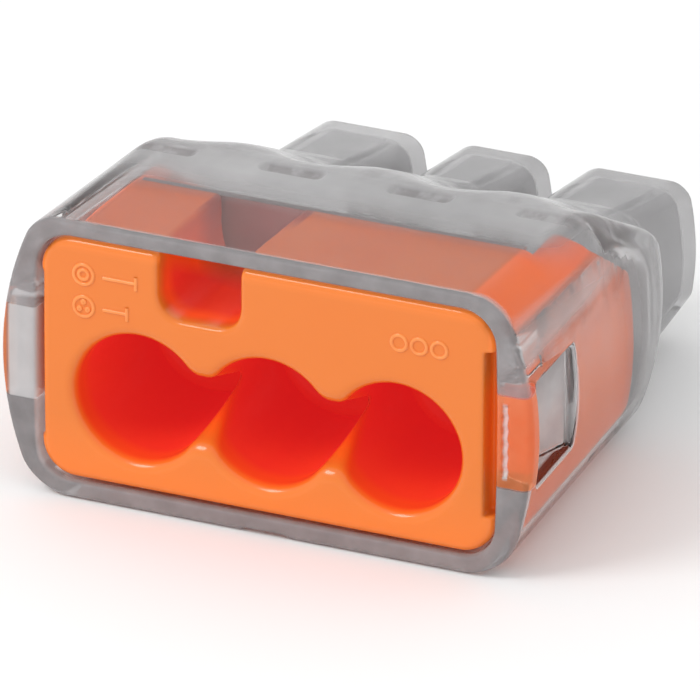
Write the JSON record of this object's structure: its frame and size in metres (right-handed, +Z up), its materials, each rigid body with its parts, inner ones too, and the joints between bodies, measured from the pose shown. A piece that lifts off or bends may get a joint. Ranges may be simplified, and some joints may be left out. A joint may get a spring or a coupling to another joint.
{
  "type": "push-in wire connector",
  "caption": "Clear-bodied push-in wire connector with a coloured port insert, merged round ports, a test notch, closed wire ends, a bus bar and a leaf spring with flexing fingers.",
  "frame": {"origin": "on the resting plane, under the middle of the connector", "axes": "+Y from the wire ports to the closed wire ends, +X to the right seen from the ports, +Z up"},
  "size_m": [0.0176, 0.0188, 0.0093],
  "materials": {
    "clear_shell": "clear, faintly smoky polycarbonate, glossy",
    "orange_insert": "satin translucent orange polycarbonate",
    "tinned_copper": "dull tin plate over copper",
    "spring_steel": "rolled stainless spring steel"
  },
  "bodies": {
    "casing": {"housing_shell": "clear_shell", "port_insert": "orange_insert", "bus_bar": "tinned_copper", "spring_strip": "spring_steel"},
    "finger_left": {"spring_finger_left": "spring_steel"},
    "finger_middle": {"spring_finger_middle": "spring_steel"},
    "finger_right": {"spring_finger_right": "spring_steel"}
  },
  "joints": [
    {"name": "flex_left", "type": "hinge", "parent": "casing", "child": "finger_left", "pos_m": [-0.0043, -0.00148, 0.00645], "axis": [1, 0, 0], "range_deg": [0, 27], "stiffness_Nm_per_rad": 0.05},
    {"name": "flex_middle", "type": "hinge", "parent": "casing", "child": "finger_middle", "pos_m": [0, -0.00148, 0.00645], "axis": [1, 0, 0], "range_deg": [0, 27], "stiffness_Nm_per_rad": 0.05},
    {"name": "flex_right", "type": "hinge", "parent": "casing", "child": "finger_right", "pos_m": [0.0043, -0.00148, 0.00645], "axis": [1, 0, 0], "range_deg": [0, 27], "stiffness_Nm_per_rad": 0.05}
  ]
}
